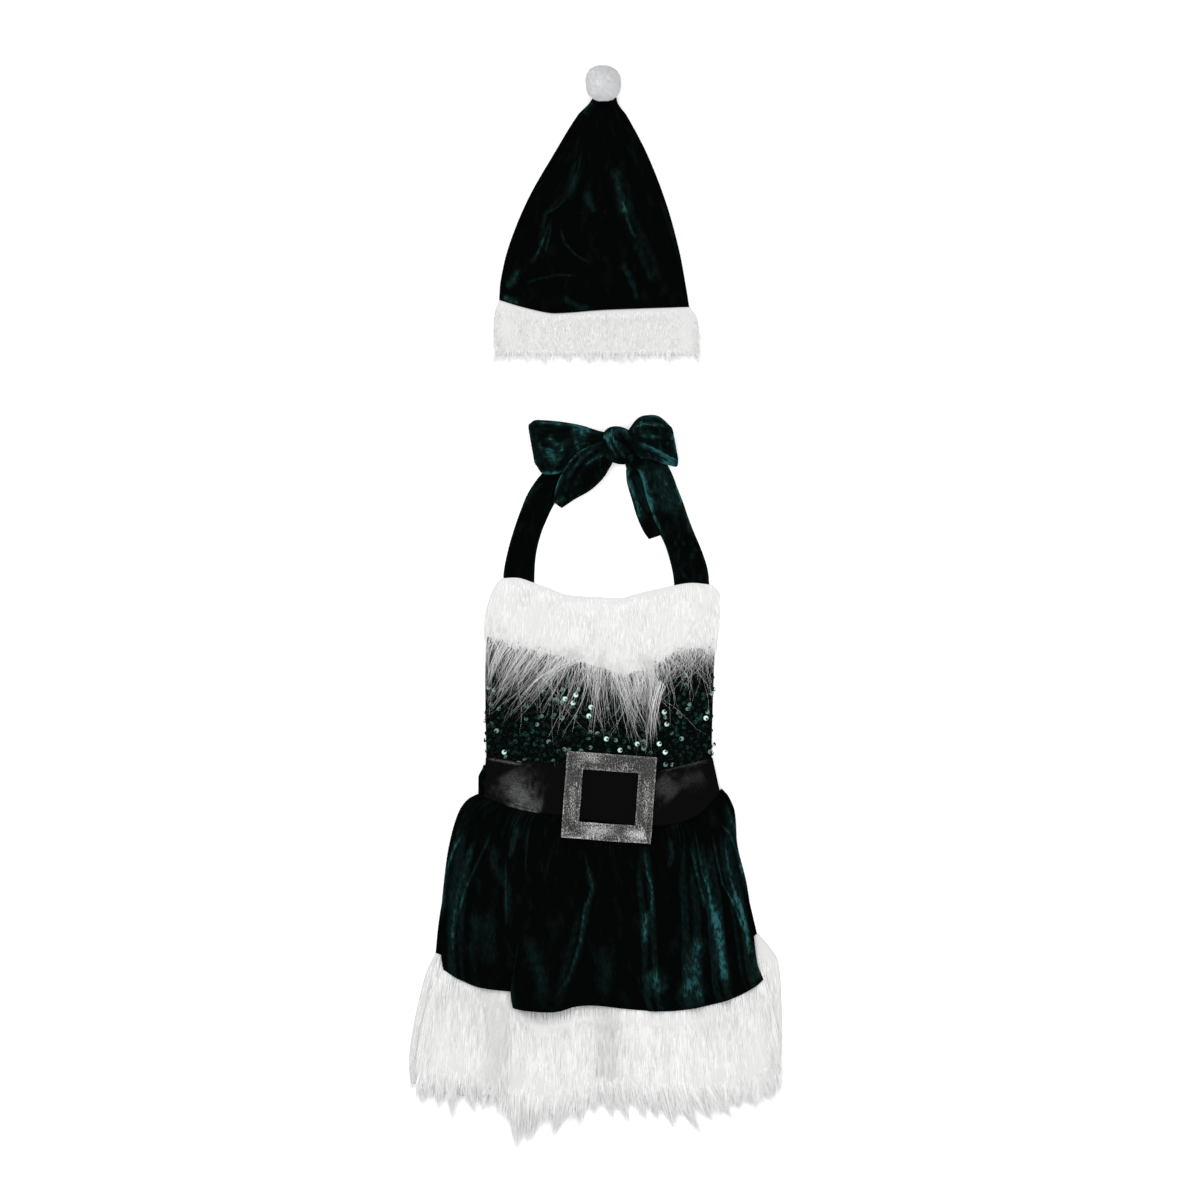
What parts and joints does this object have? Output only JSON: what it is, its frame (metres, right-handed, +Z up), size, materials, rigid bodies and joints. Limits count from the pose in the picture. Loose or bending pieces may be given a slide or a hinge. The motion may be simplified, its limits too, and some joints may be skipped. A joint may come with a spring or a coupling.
{
  "type": "child's halter dress with fur hem and belt, and pointed hat, laid flat",
  "caption": "Child's velvet halter dress with sequin front, long fur hem, belt and square buckle, and a pointed velvet hat with fur band, laid flat.",
  "frame": {"origin": "on the surface that the set lies on, under the middle of the bodice", "axes": "+Z up from the surface, +Y from the hem of the dress to the tip of the hat, +X to the viewer's right"},
  "size_m": [0.4464, 1.2913, 0.0422],
  "materials": {
    "velvet": "crushed pile velvet, near-black bottle green with a teal sheen on the folds",
    "sequin_cloth": "dark green cloth sewn over with small round sequins, a few of them catching the light",
    "fur": "long white imitation fur",
    "pompom": "short dense white pile",
    "leatherette": "black, thin and softly wrinkled, satin sheen",
    "foil": "dull silver foil on leatherette, dappled and cracked"
  },
  "bodies": {
    "root": {"back_waistband": "velvet", "skirt_back": "velvet", "skirt_front": "velvet", "hem_fur_back": "fur", "hem_fur_front": "fur", "hem_fur_locks": "fur", "bodice_front": "sequin_cloth", "bib_fur": "fur", "bib_fur_locks": "fur", "belt": "leatherette", "buckle": "foil", "strap_left": "velvet", "strap_right": "velvet", "bow_tail_right": "velvet", "bow_tail_left": "velvet", "bow_loop_left": "velvet", "bow_loop_right": "velvet", "bow_knot": "velvet", "hat_back": "velvet", "hat_front": "velvet", "hat_band_back": "fur", "hat_band_front": "fur", "hat_pompom": "pompom"}
  },
  "joints": []
}
